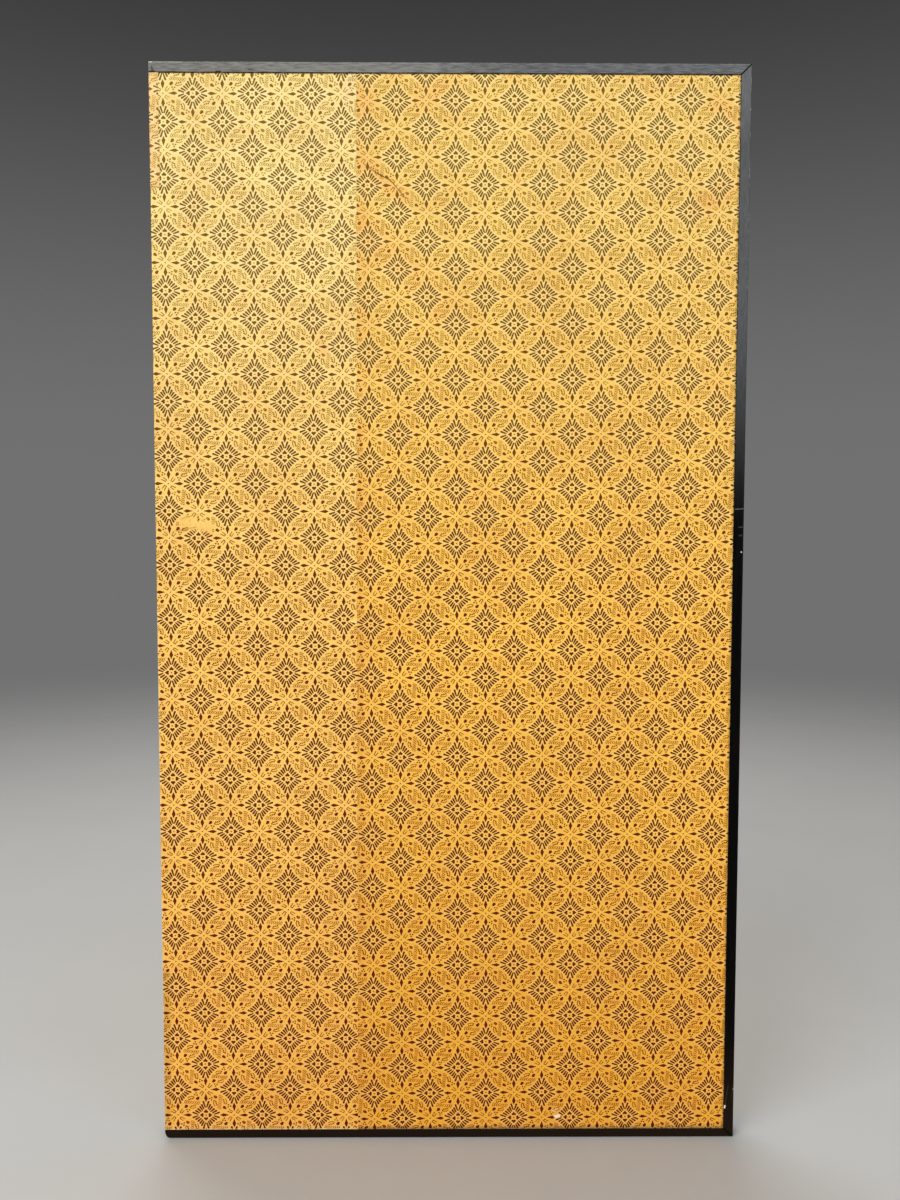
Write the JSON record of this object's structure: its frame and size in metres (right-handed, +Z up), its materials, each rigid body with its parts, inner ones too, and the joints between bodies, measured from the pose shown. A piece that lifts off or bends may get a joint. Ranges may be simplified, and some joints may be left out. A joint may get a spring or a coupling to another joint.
{
  "type": "byobu folding screen",
  "caption": "Folding screen of paper-covered lattice panels in a black lacquered frame, hinged with alternating paper bands, with patterned backs and gold fronts; shown folded shut.",
  "frame": {"origin": "centre of the closed screen's underside, midway between the two panels", "axes": "+X from the fold edge to the outer edge, -Y out of the left panel's patterned back, +Z up"},
  "size_m": [0.9298, 0.0406, 1.71],
  "materials": {
    "black_lacquer": "worn black lacquer, satin",
    "iron": "forged, dull",
    "softwood": "planed softwood, bare",
    "bamboo": "split bamboo, bare",
    "lining_paper": "layered fibre paper, matt",
    "printed_paper": "printed paper, aged, matt",
    "gold_leaf_paper": "gold leaf laid in squares on paper",
    "brocade": "woven silk brocade",
    "fillet_silk": "plain silk over paper",
    "hinge_paper": "strong fibre paper, matt"
  },
  "bodies": {
    "left_panel": {"left_top_rail": "black_lacquer", "left_bottom_rail": "black_lacquer", "left_side_stile": "black_lacquer", "left_frame_nails": "iron", "left_core_fold_stile": "softwood", "left_core_outer_stile": "softwood", "left_core_top_rail": "softwood", "left_core_bottom_rail": "softwood", "left_core_pegs": "bamboo", "left_lattice_uprights": "softwood", "left_lattice_crossbars": "softwood", "left_corner_plates": "softwood", "left_front_lining": "lining_paper", "left_back_lining": "lining_paper", "left_fold_edge_lining": "lining_paper", "left_back_paper_narrow": "printed_paper", "left_back_paper_wide": "printed_paper", "left_gold_ground": "gold_leaf_paper", "left_brocade_top": "brocade", "left_brocade_bottom": "brocade", "left_brocade_outer": "brocade", "left_border_fillets": "fillet_silk", "hinge_band_1_left_leaf": "printed_paper", "hinge_band_2_left_leaf": "hinge_paper", "hinge_band_3_left_leaf": "hinge_paper", "hinge_band_4_left_leaf": "hinge_paper", "hinge_band_5_left_leaf": "hinge_paper", "hinge_band_6_left_leaf": "hinge_paper", "hinge_band_7_left_leaf": "hinge_paper"},
    "right_panel": {"right_top_rail": "black_lacquer", "right_bottom_rail": "black_lacquer", "right_side_stile": "black_lacquer", "right_frame_nails": "iron", "right_core_fold_stile": "softwood", "right_core_outer_stile": "softwood", "right_core_top_rail": "softwood", "right_core_bottom_rail": "softwood", "right_core_pegs": "bamboo", "right_lattice_uprights": "softwood", "right_lattice_crossbars": "softwood", "right_corner_plates": "softwood", "right_front_lining": "lining_paper", "right_back_lining": "lining_paper", "right_fold_edge_lining": "lining_paper", "right_back_paper_narrow": "printed_paper", "right_back_paper_wide": "printed_paper", "right_gold_ground": "gold_leaf_paper", "right_brocade_top": "brocade", "right_brocade_bottom": "brocade", "right_brocade_outer": "brocade", "right_border_fillets": "fillet_silk", "hinge_band_1_right_leaf": "hinge_paper", "hinge_band_2_right_leaf": "hinge_paper", "hinge_band_3_right_leaf": "hinge_paper", "hinge_band_4_right_leaf": "hinge_paper", "hinge_band_5_right_leaf": "hinge_paper", "hinge_band_6_right_leaf": "hinge_paper", "hinge_band_7_right_leaf": "hinge_paper"}
  },
  "joints": [
    {"name": "fold", "type": "hinge", "parent": "left_panel", "child": "right_panel", "pos_m": [-0.46515, 0, 0.855], "axis": [0, 0, 1], "range_deg": [0, 180]}
  ]
}
